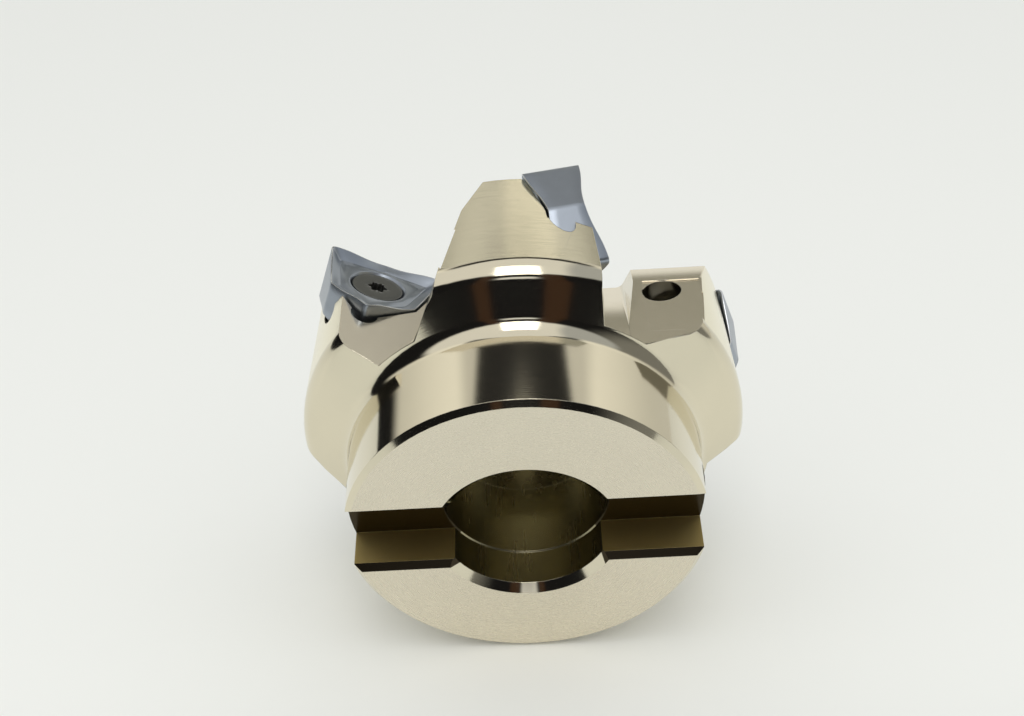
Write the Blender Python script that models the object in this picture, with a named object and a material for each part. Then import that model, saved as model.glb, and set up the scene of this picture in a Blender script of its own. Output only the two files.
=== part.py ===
"""Indexable face mill with five double-sided trigon inserts.

The tool frame has +Z along the tool axis, from the arbor face at 0 to the cutting end, and +X
through the middle of the first tooth. An empty lays the finished tool down on its side, where it
rests on the rim of the hub and on the shoulders of two teeth.
"""
import math

import bmesh
import bpy
from mathutils import Matrix, Vector

# Whole tool
TEETH = 5
TURN_STEPS = 90                  # facets round the turned surfaces
CUTTER_OVERRUN = 0.0070          # cutters run this far out of the blank

# Hub and arbor seat
HUB_RADIUS = 0.0240
HUB_LENGTH = 0.0136              # to the sharp corner where the conical shoulder starts
HUB_CHAMFER = 0.00075
HUB_FILLET = 0.0015
HUB_FILLET_STEPS = 4
BORE_RADIUS = 0.0110
BORE_DEPTH = 0.0180
BORE_CHAMFER = 0.00125
RELIEF_DEPTH = 0.0063            # the mouth of the bore is relieved this far in
RELIEF_STEP = 0.0002
SCREW_WAY_RADIUS = 0.0055        # hole for the arbor screw through the web
WEB_THICKNESS = 0.0100
COUNTERBORE_RADIUS = 0.0090      # room for the head of the arbor screw
COUNTERBORE_CHAMFER = 0.0005

# Drive key slots across the arbor face
KEY_SLOT_WIDTH = 0.0104
KEY_SLOT_DEPTH = 0.0063
KEY_SLOT_CHAMFER = 0.00085

# Flange that carries the teeth
SHOULDER_RADIUS = 0.03071        # sharp corner between the cone and the outer surface
SHOULDER_HEIGHT = 0.0180
SHOULDER_ROUND = 0.0024
END_RADIUS = 0.0297
BODY_LENGTH = 0.0377
ROUND_STEPS = 5

# Gullets: a leaning front wall, a floor that is the back of the tooth ahead, and a bevel
GULLET_RISE = 0.0010             # it starts this far above the foot of the shoulder
GULLET_START = HUB_LENGTH + GULLET_RISE
WALL_OFFSET = 0.0113             # front wall of a tooth, from the plane through the tool axis
WALL_LEAN = 0.08                 # how far the wall comes back for each metre toward the end
WALL_LEVEL = 0.0205              # height at which the wall has its stated offset
WALL_TILT = 0.07                 # how far the wall comes back for each metre toward the axis
WALL_RADIUS = 0.0281             # distance from the axis at which it has its stated offset
FLOOR_HEIGHT = 0.01529           # floor, from the tool axis, where the bevel begins
FLOOR_SLOPE = 0.225
BEVEL_LENGTH = 0.00582
BEVEL_LEVEL = BODY_LENGTH - BEVEL_LENGTH
BEVEL_SLOPE = 0.469

# Groove along the foot of the front wall, which gives room to the insert's inner corner
GROOVE_START = 0.0199            # height at which it runs out in the gullet floor
GROOVE_FLOOR = 0.0094            # its floor, from the tool axis, at the end face
GROOVE_REACH = 0.0149            # its far side, from the plane through the tool axis
GROOVE_FLANK = 0.45              # how far that side leans out for each metre of depth
GROOVE_ROUND = 0.0012
GROOVE_STEPS = 5
GROOVE_LEAST = 0.00003           # depth where it has run out

# Shallow flat milled on the back of each tooth
FLAT_DEPTH = 0.0002
FLAT_INNER = 0.0175              # edge nearer the tooth ahead's front wall
FLAT_OUTER = 0.0254              # edge of the short land left at the outer corner
FLAT_LAND_LENGTH = 0.00388       # length of that land, up to the bevel
FLAT_START = 0.0180
FLAT_CORNER = 0.0252             # its rounded lower corner, from the plane through the axis
FLAT_ROUND = 0.0035
FLAT_STEPS = 4
FLAT_STEP_LEVEL = BEVEL_LEVEL - FLAT_LAND_LENGTH

# Insert
SHARP_REACH = 0.0096             # centre to a sharp corner, before its nose is rounded
BLUNT_REACH = 0.00701
SHARP_HALF_HEIGHT = 0.00399
BLUNT_HALF_HEIGHT = 0.00250
NOSE_RADIUS = 0.0008
BLUNT_RADIUS = 0.0015
LAND_WIDTH = 0.00015
VALLEY_INSET = 0.0015
VALLEY_HALF_HEIGHT = 0.0022
VALLEY_LIFT = 0.35               # share of the corner's rise that the valley keeps
FLAT_INSET = 0.0023
HOLE_RIM_RADIUS = 0.0040
HOLE_NECK_RADIUS = 0.0026
HOLE_NECK_LEVEL = 0.0003         # half height of the neck between the two countersinks
NOSE_STEPS = 3
BLUNT_STEPS = 1

# How an insert stands in its tooth
INSERT_INSET = 0.00638           # its centre, in from the outer surface at the end
INSERT_SET_BACK = 0.00508        # and back from the end face
INSERT_RADIAL = END_RADIUS - INSERT_INSET
INSERT_SIDE = 0.00674
INSERT_AXIAL = BODY_LENGTH - INSERT_SET_BACK
AXIAL_RAKE = math.radians(13.03)
RADIAL_RAKE = math.radians(2.19)
CORNER_TURN = math.radians(42.92)  # direction of the cutting corner, from the radial direction

# Pocket
SEAT_GAP = 0.0003
WALL_GAP = 0.00035
POCKET_REACH = 0.0090            # how far the open sides of the cutter run past the corners
POCKET_BULGE = 0.0180            # how far their middle corner stands out past the insert's
POCKET_FRONT = 0.0130
SCALLOP_RADIUS = 0.0017
SCALLOP_OUT = 0.0001
SCALLOP_LEVEL = -0.0011
SCALLOP_LENGTH = 0.0180
CORNER_RELIEF_RADIUS = 0.0019
CORNER_RELIEF_INSET = 0.00113
CORNER_RELIEF_SINK = 0.0002
CORNER_RELIEF_FRONT = 0.0117
DRILL_STEPS = 20
SCREW_HOLE_RADIUS = 0.0026
SCREW_HOLE_LENGTH = 0.0220

# Insert screw
SCREW_GAP = 0.00025
SCREW_HEAD_SINK = 0.00015        # top of the head below the insert's flat
SCREW_SHANK_RADIUS = 0.00225
SCREW_LENGTH = 0.0133            # from the top of the head to the tip
SCREW_TIP_CHAMFER = 0.0006
LOBE_OUTER_RADIUS = 0.00165
LOBE_INNER_RADIUS = 0.00118
LOBE_DEPTH = 0.0014
LOBES = 6
SCREW_STEPS = 24                 # facets round a screw, four to each lobe
SCREW_TURN = math.radians(37)    # each screw ends a little further round than the last

REST_PASSES = 12
SMOOTH_ANGLE = math.radians(30)

NICKEL = ("nickel_plated_steel", (0.62, 0.58, 0.49, 1.0), 0.28, 1.0)
CARBIDE = ("coated_carbide", (0.10, 0.11, 0.14, 1.0), 0.35, 0.9)
DARK_STEEL = ("blackened_steel", (0.13, 0.125, 0.115, 1.0), 0.40, 0.9)


def clear_scene():
    """Remove whatever the open file holds."""
    for thing in list(bpy.data.objects):
        bpy.data.objects.remove(thing, do_unlink=True)


def make_material(finish):
    """Principled material from (name, colour, roughness, metallic)."""
    name, colour, roughness, metallic = finish
    material = bpy.data.materials.new(name)
    material.use_nodes = True
    shader = material.node_tree.nodes["Principled BSDF"]
    shader.inputs["Base Color"].default_value = colour
    shader.inputs["Roughness"].default_value = roughness
    shader.inputs["Metallic"].default_value = metallic
    return material


def mesh_object(name, bm):
    """Turn a bmesh into an object in the scene, with its faces pointing out."""
    bmesh.ops.remove_doubles(bm, verts=bm.verts, dist=1e-7)
    bmesh.ops.recalc_face_normals(bm, faces=bm.faces)
    mesh = bpy.data.meshes.new(name)
    bm.to_mesh(mesh)
    bm.free()
    thing = bpy.data.objects.new(name, mesh)
    bpy.context.collection.objects.link(thing)
    return thing


def bridge(bm, lower, upper):
    """Join two rings of the same number of vertices with triangles."""
    count = len(lower)
    for i in range(count):
        j = (i + 1) % count
        bm.faces.new((lower[i], lower[j], upper[j]))
        bm.faces.new((lower[i], upper[j], upper[i]))


def stack(name, rings):
    """Closed solid skinned over a stack of rings, with flat ends."""
    bm = bmesh.new()
    loops = [[bm.verts.new(point) for point in ring] for ring in rings]
    for lower, upper in zip(loops, loops[1:]):
        bridge(bm, lower, upper)
    bm.faces.new(loops[0])
    bm.faces.new(loops[-1])
    return mesh_object(name, bm)


def turned(name, profile, steps):
    """Closed (radius, height) profile turned once round the tool axis."""
    bm = bmesh.new()
    verts = [bm.verts.new((radius, 0.0, height)) for radius, height in profile]
    count = len(verts)
    edges = [bm.edges.new((verts[i], verts[(i + 1) % count])) for i in range(count)]
    bmesh.ops.spin(bm, geom=verts + edges, cent=(0, 0, 0), axis=(0, 0, 1),
                   angle=math.tau, steps=steps, use_merge=True)
    return mesh_object(name, bm)


def round_ring(radius, height, steps):
    """Round ring of points about local Z."""
    angles = [math.tau * i / steps for i in range(steps)]
    return [(radius * math.cos(a), radius * math.sin(a), height) for a in angles]


def rod(name, radius, low, high, steps):
    """Round bar along local Z."""
    return stack(name, [round_ring(radius, height, steps) for height in (low, high)])


def rounded(before, corner, after, radius, steps):
    """Points of the arc that rounds a corner between two straight lines."""
    corner = Vector(corner)
    to_before = (Vector(before) - corner).normalized()
    to_after = (Vector(after) - corner).normalized()
    half = to_before.angle(to_after) / 2
    centre = corner + (to_before + to_after).normalized() * radius / math.sin(half)
    first = corner + to_before * radius / math.tan(half) - centre
    last = corner + to_after * radius / math.tan(half) - centre
    turn = math.pi - 2 * half
    points = []
    for i in range(steps + 1):
        share = i / steps
        a = math.sin((1 - share) * turn) / math.sin(turn)
        b = math.sin(share * turn) / math.sin(turn)
        points.append(centre + first * a + last * b)
    return points


def cut(thing, cutter):
    """Subtract one solid from another and keep the result as the mesh."""
    boolean = thing.modifiers.new("cut", "BOOLEAN")
    boolean.operation = "DIFFERENCE"
    boolean.solver = "EXACT"
    boolean.object = cutter
    bpy.context.view_layer.update()
    graph = bpy.context.evaluated_depsgraph_get()
    mesh = bpy.data.meshes.new_from_object(thing.evaluated_get(graph))
    thing.modifiers.clear()
    thing.data = mesh
    bpy.data.objects.remove(cutter, do_unlink=True)


def tooth_turn(index):
    """Rotation that takes the first tooth's frame to the tooth with this index."""
    return Matrix.Rotation(-math.tau * index / TEETH, 4, "Z")


def insert_frame():
    """Frame of the first tooth's insert: X to its cutting corner, Z out of its rake face."""
    to_corner = Vector((math.cos(CORNER_TURN), 0.0, math.sin(CORNER_TURN)))
    rake = Vector((0.0, 1.0, 0.0))
    frame = Matrix((to_corner, rake.cross(to_corner), rake)).transposed().to_4x4()
    tilt = Matrix.Rotation(RADIAL_RAKE, 4, "Z") @ Matrix.Rotation(AXIAL_RAKE, 4, "X")
    place = Matrix.Translation((INSERT_RADIAL, INSERT_SIDE, INSERT_AXIAL))
    return place @ tilt @ frame


def wall_offset(height, radial):
    """Offset of a tooth's front wall at a height along the tool axis and a distance from it."""
    return (WALL_OFFSET - WALL_LEAN * (height - WALL_LEVEL)
            - WALL_TILT * (WALL_RADIUS - radial))


def floor_height(height):
    """Distance of the gullet floor from the tool axis, in the plane of the first tooth."""
    if height < BEVEL_LEVEL:
        return FLOOR_HEIGHT + FLOOR_SLOPE * (BEVEL_LEVEL - height)
    return FLOOR_HEIGHT - BEVEL_SLOPE * (height - BEVEL_LEVEL)


def groove_depth(height):
    """Depth of the groove at the foot of the front wall, below the gullet floor."""
    if height <= GROOVE_START:
        return GROOVE_LEAST
    share = (height - GROOVE_START) / (BODY_LENGTH - GROOVE_START)
    groove = floor_height(GROOVE_START) * (1 - share) + GROOVE_FLOOR * share
    return floor_height(height) - groove


def shoulder_arc():
    """Rounding between the cone and the outer surface, as (radius, height) points."""
    corner = (SHOULDER_RADIUS, SHOULDER_HEIGHT)
    return rounded((HUB_RADIUS, HUB_LENGTH), corner, (END_RADIUS, BODY_LENGTH),
                   SHOULDER_ROUND, ROUND_STEPS)


def body_profile():
    """Outline of the turned blank, as (radius, height) points in one closed loop."""
    hub_corner = (HUB_RADIUS, HUB_LENGTH)
    shoulder = (SHOULDER_RADIUS, SHOULDER_HEIGHT)
    end_corner = (END_RADIUS, BODY_LENGTH)
    web_top = BORE_DEPTH + WEB_THICKNESS
    outer = [(HUB_RADIUS - HUB_CHAMFER, 0.0), (HUB_RADIUS, HUB_CHAMFER)]
    outer += rounded(outer[-1], hub_corner, shoulder, HUB_FILLET, HUB_FILLET_STEPS)
    outer += shoulder_arc()
    outer += [end_corner]
    relieved = BORE_RADIUS + RELIEF_STEP
    inner = [
        (COUNTERBORE_RADIUS + COUNTERBORE_CHAMFER, BODY_LENGTH),
        (COUNTERBORE_RADIUS, BODY_LENGTH - COUNTERBORE_CHAMFER),
        (COUNTERBORE_RADIUS, web_top),
        (SCREW_WAY_RADIUS, web_top),
        (SCREW_WAY_RADIUS, BORE_DEPTH),
        (BORE_RADIUS, BORE_DEPTH),
        (BORE_RADIUS, RELIEF_DEPTH + RELIEF_STEP),
        (relieved, RELIEF_DEPTH),
        (relieved, BORE_RADIUS + BORE_CHAMFER - relieved),
        (BORE_RADIUS + BORE_CHAMFER, 0.0),
    ]
    return [tuple(point) for point in outer] + inner


def gullet_section(height, far):
    """Outline of the milled gullet at one height: front wall, groove, floor, outside."""
    floor = floor_height(height)
    depth = groove_depth(height)
    wall = (far, wall_offset(height, far))
    foot = (floor - depth, wall_offset(height, floor - depth))
    reach = (floor - depth, GROOVE_REACH)
    brow = (floor, GROOVE_REACH + GROOVE_FLANK * depth)
    points = [wall]
    points += rounded(wall, foot, reach, GROOVE_ROUND, GROOVE_STEPS)
    points += rounded(foot, reach, brow, min(GROOVE_ROUND, depth), GROOVE_STEPS)
    points += [brow, (floor, far), (far, far)]
    return [(point[0], point[1], height) for point in points]


def gullet_cutter():
    """Solid that the milling cutter sweeps in front of the first tooth."""
    far = SHOULDER_RADIUS + CUTTER_OVERRUN
    heights = (GULLET_START, GROOVE_START, BEVEL_LEVEL, BODY_LENGTH + CUTTER_OVERRUN)
    return stack("gullet", [gullet_section(height, far) for height in heights])


def flat_cutter():
    """Shallow recess on the back of the tooth ahead of the first gullet."""
    far = SHOULDER_RADIUS + CUTTER_OVERRUN
    start = (FLAT_INNER, FLAT_START)
    corner = (FLAT_CORNER, FLAT_START)
    step = (FLAT_CORNER, FLAT_STEP_LEVEL)
    outline = [start]
    outline += rounded(start, corner, step, FLAT_ROUND, FLAT_STEPS)
    outline += [
        (far, FLAT_START + FLAT_ROUND),
        (far, FLAT_STEP_LEVEL),
        (FLAT_OUTER, FLAT_STEP_LEVEL),
        (FLAT_OUTER, BEVEL_LEVEL),
        (FLAT_INNER, BEVEL_LEVEL),
    ]
    rings = []
    for lift in (-FLAT_DEPTH, CUTTER_OVERRUN):
        rings.append([(floor_height(height) + lift, side, height) for side, height in outline])
    return stack("back_flat", rings)


def key_slot_cutter():
    """Key slot across the whole arbor face; its chamfers run on outside the face."""
    half = KEY_SLOT_WIDTH / 2
    mouth = half + 2 * KEY_SLOT_CHAMFER
    outline = [
        (-mouth, -KEY_SLOT_CHAMFER),
        (-half, KEY_SLOT_CHAMFER),
        (-half, KEY_SLOT_DEPTH),
        (half, KEY_SLOT_DEPTH),
        (half, KEY_SLOT_CHAMFER),
        (mouth, -KEY_SLOT_CHAMFER),
    ]
    reach = HUB_RADIUS + CUTTER_OVERRUN
    rings = [[(x, side, z) for x, z in outline] for side in (-reach, reach)]
    return stack("key_slot", rings)


def insert_corners(inset):
    """The six corners of the insert's plan, drawn in by an inset, from the cutting corner on."""
    sharp_half = math.atan2(BLUNT_REACH * math.sin(math.pi / 3),
                            SHARP_REACH - BLUNT_REACH * math.cos(math.pi / 3))
    blunt_half = 2 * math.pi / 3 - sharp_half
    corners = []
    for i in range(6):
        if i % 2 == 0:
            reach = SHARP_REACH - inset / math.sin(sharp_half)
        else:
            reach = BLUNT_REACH - inset / math.sin(blunt_half)
        angle = math.pi / 3 * i
        corners.append(Vector((reach * math.cos(angle), reach * math.sin(angle))))
    return corners


def edge_height(point):
    """Half height of the insert at a point of its outline: it falls from sharp to blunt."""
    sharp, blunt = insert_corners(0.0)[:2]
    sector = 2 * math.pi / 3
    angle = math.atan2(point.y, point.x) % sector
    angle = min(angle, sector - angle)
    folded = Vector((math.cos(angle), math.sin(angle))) * point.length
    share = (folded - sharp).dot(blunt - sharp) / (blunt - sharp).length_squared
    share = min(max(share, 0.0), 1.0)
    return SHARP_HALF_HEIGHT + share * (BLUNT_HALF_HEIGHT - SHARP_HALF_HEIGHT)


def insert_outline(inset):
    """Plan of the insert with rounded corners and one point in the middle of each edge."""
    corners = insert_corners(inset)
    arcs = []
    for i, corner in enumerate(corners):
        before = corners[i - 1]
        after = corners[(i + 1) % 6]
        if i % 2 == 0:
            radius = max(NOSE_RADIUS - inset / 2, NOSE_RADIUS / 2)
            arcs.append(rounded(before, corner, after, radius, NOSE_STEPS))
        else:
            arcs.append(rounded(before, corner, after, BLUNT_RADIUS, BLUNT_STEPS))
    points = []
    for i, arc in enumerate(arcs):
        points += arc
        points.append((arc[-1] + arcs[(i + 1) % 6][0]) / 2)
    return points


def insert_rings():
    """Rings from the insert's edge, over its rake face, down into the neck of the hole."""
    heights = [edge_height(point) for point in insert_outline(0.0)]
    valley = []
    for height in heights:
        valley.append(VALLEY_HALF_HEIGHT + VALLEY_LIFT * (height - BLUNT_HALF_HEIGHT))
    level = [BLUNT_HALF_HEIGHT] * len(heights)
    steps = ((0.0, heights), (LAND_WIDTH, heights), (VALLEY_INSET, valley), (FLAT_INSET, level))
    rings = []
    for inset, levels in steps:
        outline = insert_outline(inset)
        rings.append([(point.x, point.y, z) for point, z in zip(outline, levels)])
    directions = [point.normalized() for point in insert_outline(FLAT_INSET)]
    for radius, z in ((HOLE_RIM_RADIUS, BLUNT_HALF_HEIGHT), (HOLE_NECK_RADIUS, HOLE_NECK_LEVEL)):
        rings.append([(radius * d.x, radius * d.y, z) for d in directions])
    return rings


def insert_object(name):
    """Double-sided insert: the rake face, mirrored to the back, round one hole."""
    front = insert_rings()
    back = [[(x, y, -z) for x, y, z in ring] for ring in reversed(front)]
    bm = bmesh.new()
    loops = [[bm.verts.new(point) for point in ring] for ring in front + back]
    for lower, upper in zip(loops, loops[1:] + loops[:1]):
        bridge(bm, lower, upper)
    return mesh_object(name, bm)


def outward(direction):
    """Direction out of the insert's plan, across a side that runs counterclockwise."""
    return Vector((direction.y, -direction.x))


def side_line(index, gap):
    """Straight line beside the insert's side between a corner and the next one."""
    corners = insert_corners(0.0)
    direction = (corners[(index + 1) % 6] - corners[index]).normalized()
    return corners[index] + outward(direction) * gap, direction


def meet(line, other_line):
    """Where two straight lines in the plan cross."""
    point, direction = line
    other, other_direction = other_line
    across = direction.cross(other_direction)
    return point + direction * ((other - point).cross(other_direction) / across)


def pocket_corners():
    """Corners of the pocket cutter, its open sides carried out past the tooth."""
    corners = insert_corners(0.0)
    outer_wall, lower_wall, inner_wall = (side_line(side, WALL_GAP) for side in (1, 2, 3))
    heel = meet(outer_wall, lower_wall)
    knee = meet(lower_wall, inner_wall)
    run = (corners[1] - corners[2]).length + POCKET_REACH
    return [
        corners[0] * (1 + POCKET_REACH / SHARP_REACH),
        heel - outer_wall[1] * run,
        heel,
        knee,
        knee + inner_wall[1] * run,
        corners[5] * (1 + POCKET_BULGE / BLUNT_REACH),
    ]


def seat_level(index):
    """Height of the seat under one corner of the insert."""
    half_height = SHARP_HALF_HEIGHT if index % 2 == 0 else BLUNT_HALF_HEIGHT
    return -half_height - SEAT_GAP


def pocket_cutter():
    """Seat that follows the insert's back at a small gap, with walls on three of its sides."""
    corners = insert_corners(0.0)
    fall = SHARP_HALF_HEIGHT - BLUNT_HALF_HEIGHT
    carry = fall * POCKET_REACH / (corners[1] - corners[2]).length
    lifts = (0.0, carry, 0.0, 0.0, -carry, 0.0)
    walls = pocket_corners()
    rings = [
        [(p.x, p.y, seat_level(1)) for p in insert_corners(FLAT_INSET)],
        [(p.x, p.y, seat_level(i)) for i, p in enumerate(insert_corners(LAND_WIDTH))],
        [(p.x, p.y, seat_level(i) + lifts[i]) for i, p in enumerate(walls)],
        [(p.x, p.y, POCKET_FRONT) for p in walls],
    ]
    return stack("pocket", rings)


def scallop_cutter():
    """Round relief along the outer wall, which opens in the outer surface of the tooth."""
    heel = insert_corners(0.0)[2]
    direction = side_line(1, SCALLOP_OUT)[1]
    centre = heel + outward(direction) * SCALLOP_OUT
    side = outward(direction).to_3d()
    along = -direction.to_3d()
    cutter = rod("scallop", SCALLOP_RADIUS, 0.0, SCALLOP_LENGTH, DRILL_STEPS)
    frame = Matrix((side, along.cross(side), along)).transposed().to_4x4()
    frame.translation = (centre.x, centre.y, SCALLOP_LEVEL)
    cutter.data.transform(frame)
    return cutter


def corner_relief_cutter():
    """Drilled relief where the outer and lower walls of the pocket meet."""
    corner = insert_corners(0.0)[2]
    centre = corner * (1 - CORNER_RELIEF_INSET / corner.length)
    foot = seat_level(2) - CORNER_RELIEF_SINK
    cutter = rod("corner_relief", CORNER_RELIEF_RADIUS, foot, CORNER_RELIEF_FRONT, DRILL_STEPS)
    cutter.data.transform(Matrix.Translation((centre.x, centre.y, 0.0)))
    return cutter


def screw_hole_cutter():
    """Hole for the insert screw, from the seat out through the back of the tooth."""
    cutter = rod("screw_hole", SCREW_HOLE_RADIUS, -SCREW_HOLE_LENGTH, 0.0, SCREW_STEPS)
    cutter.data.transform(Matrix.Rotation(math.pi / SCREW_STEPS, 4, "Z"))
    return cutter


def make_body():
    """Turned blank, then key slot, gullets and pockets."""
    body = turned("cutter_body", body_profile(), TURN_STEPS)
    cut(body, key_slot_cutter())
    insert = insert_frame()
    for index in range(TEETH):
        turn = tooth_turn(index)
        for make in (gullet_cutter, flat_cutter):
            cutter = make()
            cutter.data.transform(turn)
            cut(body, cutter)
    pocket_tools = (pocket_cutter, scallop_cutter, corner_relief_cutter, screw_hole_cutter)
    for index in range(TEETH):
        for make in pocket_tools:
            cutter = make()
            cutter.data.transform(tooth_turn(index) @ insert)
            cut(body, cutter)
    return body


def lobe_ring(height):
    """Outline of the six-lobe drive recess."""
    ring = []
    for i in range(SCREW_STEPS):
        angle = math.tau * i / SCREW_STEPS
        wave = (1 + math.cos(LOBES * angle)) / 2
        radius = LOBE_INNER_RADIUS + (LOBE_OUTER_RADIUS - LOBE_INNER_RADIUS) * wave
        ring.append((radius * math.cos(angle), radius * math.sin(angle), height))
    return ring


def screw_object(name):
    """Countersunk screw: drive recess, flat head, cone, shank and chamfered tip."""
    top = BLUNT_HALF_HEIGHT - SCREW_HEAD_SINK
    slope = (HOLE_RIM_RADIUS - HOLE_NECK_RADIUS) / (BLUNT_HALF_HEIGHT - HOLE_NECK_LEVEL)
    radial_gap = SCREW_GAP * math.hypot(1.0, slope)
    head_radius = HOLE_RIM_RADIUS - SCREW_HEAD_SINK * slope - radial_gap
    cone_end = top - (head_radius - SCREW_SHANK_RADIUS) / slope
    tip = top - SCREW_LENGTH
    rings = [
        lobe_ring(top - LOBE_DEPTH),
        lobe_ring(top),
        round_ring(head_radius, top, SCREW_STEPS),
        round_ring(SCREW_SHANK_RADIUS, cone_end, SCREW_STEPS),
        round_ring(SCREW_SHANK_RADIUS, tip + SCREW_TIP_CHAMFER, SCREW_STEPS),
        round_ring(SCREW_SHANK_RADIUS - SCREW_TIP_CHAMFER, tip, SCREW_STEPS),
    ]
    return stack(name, rings)


def tooth_edges(radius, height):
    """Angles from a tooth's middle to its front and back edges, on one circle of the flange."""
    offset = wall_offset(height, radius * math.cos(math.asin(WALL_OFFSET / radius)))
    front = math.asin(offset / radius)
    back = math.tau / TEETH - math.acos((floor_height(height) - FLAT_DEPTH) / radius)
    return front, back


def resting_turn():
    """Rotation that lays the tool on its hub rim and on the shoulders of two teeth."""
    pitch = math.tau / TEETH
    arc = shoulder_arc()
    tilt = 0.0
    for _ in range(REST_PASSES):
        lowest = -math.inf
        for radius, height in arc:
            front, back = tooth_edges(radius, height)
            drop = radius * math.cos((pitch - front - back) / 2)
            depth = drop * math.cos(tilt) - height * math.sin(tilt)
            if depth > lowest:
                lowest = depth
                contact = (drop, height)
                roll = pitch * (TEETH // 2 + 0.5) - math.pi - (front - back) / 2
        tilt = math.atan2(contact[0] - HUB_RADIUS, contact[1] - HUB_CHAMFER)
    upright = Matrix(((0, 1, 0), (0, 0, 1), (1, 0, 0))).to_4x4()
    return Matrix.Rotation(tilt, 4, "X") @ upright @ Matrix.Rotation(roll, 4, "Z")


def lay_down(things, cradle):
    """Put the cradle so that the tool stands on the ground, centred over the origin."""
    bpy.context.view_layer.update()
    points = []
    for thing in things:
        points += [thing.matrix_world @ vertex.co for vertex in thing.data.vertices]
    low = [min(point[axis] for point in points) for axis in range(3)]
    high = [max(point[axis] for point in points) for axis in range(3)]
    cradle.location -= Vector(((low[0] + high[0]) / 2, (low[1] + high[1]) / 2, low[2]))


def finish(thing, material, cradle, place):
    """Give a piece its material and smooth shading, and put it on the cradle."""
    thing.data.materials.clear()
    thing.data.materials.append(material)
    thing.data.shade_smooth()
    thing.data.set_sharp_from_angle(angle=SMOOTH_ANGLE)
    thing.parent = cradle
    thing.matrix_local = place


clear_scene()
cradle = bpy.data.objects.new("laid_down", None)
bpy.context.collection.objects.link(cradle)
cradle.matrix_world = resting_turn()
nickel, carbide, dark_steel = (make_material(kind) for kind in (NICKEL, CARBIDE, DARK_STEEL))
pieces = [make_body()]
finish(pieces[0], nickel, cradle, Matrix.Identity(4))
for tooth in range(TEETH):
    seat = tooth_turn(tooth) @ insert_frame()
    insert = insert_object(f"insert_{tooth + 1}")
    finish(insert, carbide, cradle, seat)
    screw = screw_object(f"insert_screw_{tooth + 1}")
    finish(screw, dark_steel, cradle, seat @ Matrix.Rotation(tooth * SCREW_TURN, 4, "Z"))
    pieces += [insert, screw]
lay_down(pieces, cradle)
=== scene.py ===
"""Studio scene of an indexable face mill that lies on its side on a pale table."""

import math

import bpy
import numpy as np
from mathutils import Matrix


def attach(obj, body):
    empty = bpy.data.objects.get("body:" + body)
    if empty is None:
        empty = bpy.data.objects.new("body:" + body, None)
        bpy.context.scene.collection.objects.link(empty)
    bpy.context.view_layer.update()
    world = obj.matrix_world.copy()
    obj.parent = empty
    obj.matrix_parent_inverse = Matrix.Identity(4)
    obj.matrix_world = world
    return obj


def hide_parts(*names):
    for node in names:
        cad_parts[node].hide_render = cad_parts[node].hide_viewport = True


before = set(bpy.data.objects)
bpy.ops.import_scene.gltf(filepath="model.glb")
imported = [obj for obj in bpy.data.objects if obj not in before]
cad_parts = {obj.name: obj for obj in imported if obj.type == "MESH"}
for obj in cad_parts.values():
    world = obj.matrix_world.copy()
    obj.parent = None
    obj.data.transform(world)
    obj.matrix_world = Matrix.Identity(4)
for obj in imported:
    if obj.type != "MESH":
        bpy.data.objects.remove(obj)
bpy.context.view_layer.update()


# Camera
# The tool is seen from above the arbor face, with a lens a little longer than normal, so that
# the bore and the key slots are at the front and the teeth stand up behind them.
SENSOR_MM = 36.0
LENS_MM = 56.72
# Columns: the camera's axes to the right, up and back, and its place.
CAMERA_FRAME = (
    (0.99956, 0.02951, 0.00236, -0.00129),
    (-0.01076, 0.43655, -0.89962, -0.20009),
    (-0.02758, 0.89920, 0.43668, 0.13596),
    (0.0, 0.0, 0.0, 1.0),
)
eye = bpy.data.cameras.new("camera")
eye.sensor_width = SENSOR_MM
eye.lens = LENS_MM
camera = bpy.data.objects.new("camera", eye)
bpy.context.scene.collection.objects.link(camera)
camera.matrix_world = Matrix(CAMERA_FRAME)
bpy.context.scene.camera = camera
bpy.context.scene.view_settings.view_transform = "Standard"


# Table
# A pale matt sheet, large enough to fill the view, that keeps the soft shadow of the tool. Its
# colour darkens a little toward the camera, a painted shade for light that falls off there.
def material(name, colour, roughness, metallic):
    """Principled material with its plain values set, and its node tree."""
    made = bpy.data.materials.new(name)
    made.use_nodes = True
    shader = made.node_tree.nodes["Principled BSDF"]
    shader.inputs["Base Color"].default_value = (*colour, 1.0)
    shader.inputs["Roughness"].default_value = roughness
    shader.inputs["Metallic"].default_value = metallic
    return made, made.node_tree, shader


def piece(name, points, faces, finishes):
    """Object at the origin from an array of points and a list of faces."""
    mesh = bpy.data.meshes.new(name)
    mesh.from_pydata(points.tolist(), [], faces)
    for finish in finishes:
        mesh.materials.append(finish)
    made = bpy.data.objects.new(name, mesh)
    bpy.context.scene.collection.objects.link(made)
    return made


def link(tree, output, socket):
    """Wire one node's output into another node's input."""
    tree.links.new(output, socket)


def fade(tree, value, start, stop):
    """Soft step of an output, from 0 at start to 1 at stop, which may be the lower one."""
    node = tree.nodes.new("ShaderNodeMapRange")
    node.interpolation_type = "SMOOTHSTEP"
    rises = start < stop
    node.inputs["From Min"].default_value = min(start, stop)
    node.inputs["From Max"].default_value = max(start, stop)
    node.inputs["To Min"].default_value = 0.0 if rises else 1.0
    node.inputs["To Max"].default_value = 1.0 if rises else 0.0
    link(tree, value, node.inputs["Value"])
    return node.outputs[0]


# A mix node keeps sockets for numbers, vectors and colours; these are the ones for colours.
FIRST_COLOUR, SECOND_COLOUR, MIXED_COLOUR = 6, 7, 2


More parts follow.
